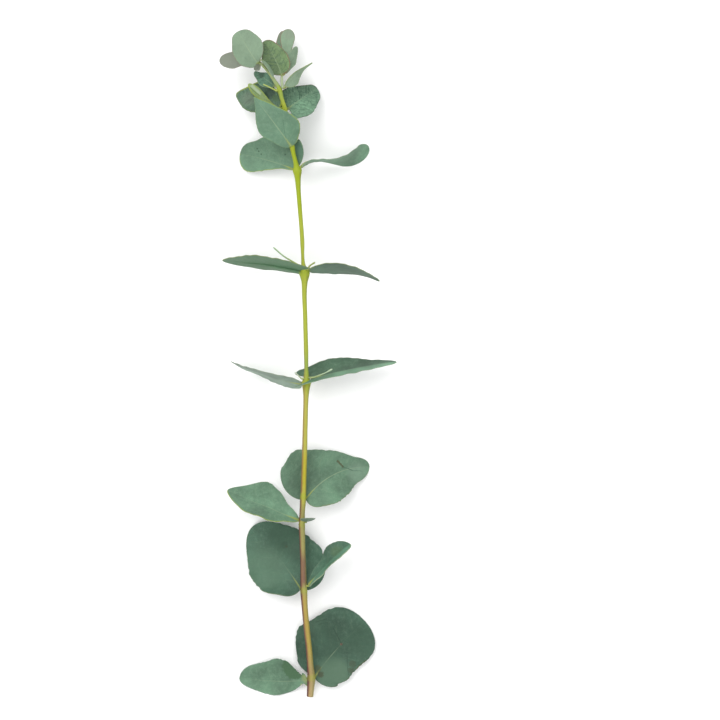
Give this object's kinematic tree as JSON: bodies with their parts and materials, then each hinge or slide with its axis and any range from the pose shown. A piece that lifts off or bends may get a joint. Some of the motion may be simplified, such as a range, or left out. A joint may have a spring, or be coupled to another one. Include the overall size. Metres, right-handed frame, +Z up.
{
  "type": "eucalyptus branch",
  "caption": "Cut eucalyptus branch lying on a surface: a slender forked stem with opposite pairs of round waxy blue-green leaves and a crown of small young leaves.",
  "frame": {"origin": "on the surface the branch lies on, below the middle of its bounding box", "axes": "+Z up from the surface, +Y along the stem from the cut end to the crown, +X to the right as seen from above with the crown away from the viewer"},
  "size_m": [0.1154, 0.4368, 0.0418],
  "materials": {
    "stem": "smooth green twig, yellow-green at the top, tan and reddish towards the cut end",
    "shoot": "smooth pale green side shoot",
    "leaf": "waxy matt sage green with a pale margin",
    "deep_leaf": "waxy matt deep blue-green with a pale margin",
    "pale_leaf": "waxy matt pale green of young leaves"
  },
  "bodies": {
    "root": {"main_stem": "stem", "right_arm": "stem", "shoot_5_left": "shoot", "shoot_5_right": "shoot", "shoot_6_left": "shoot", "shoot_6_right": "shoot", "shoot_fork": "shoot", "leaf_1_left": "leaf", "leaf_1_right": "deep_leaf", "leaf_2_left": "deep_leaf", "leaf_2_right": "leaf", "leaf_3_left": "leaf", "leaf_3_front": "leaf", "leaf_4_right": "leaf", "leaf_5_left": "leaf", "leaf_5_right": "leaf", "leaf_6_left": "leaf", "leaf_6_right": "leaf", "leaf_7_left": "leaf", "leaf_7_right": "leaf", "leaf_8_front": "leaf", "leaf_8_young": "pale_leaf", "leaf_9_left": "leaf", "leaf_9_right": "deep_leaf", "crown_leaf_back": "deep_leaf", "crown_leaf_fork": "pale_leaf", "crown_leaf_left_low": "leaf", "crown_leaf_left_side": "leaf", "crown_leaf_left_tip": "pale_leaf", "crown_leaf_right_back": "leaf", "crown_leaf_right_mid": "pale_leaf", "crown_leaf_right_side": "leaf", "crown_leaf_right_tip": "deep_leaf", "crown_leaf_sliver": "pale_leaf"}
  },
  "joints": []
}
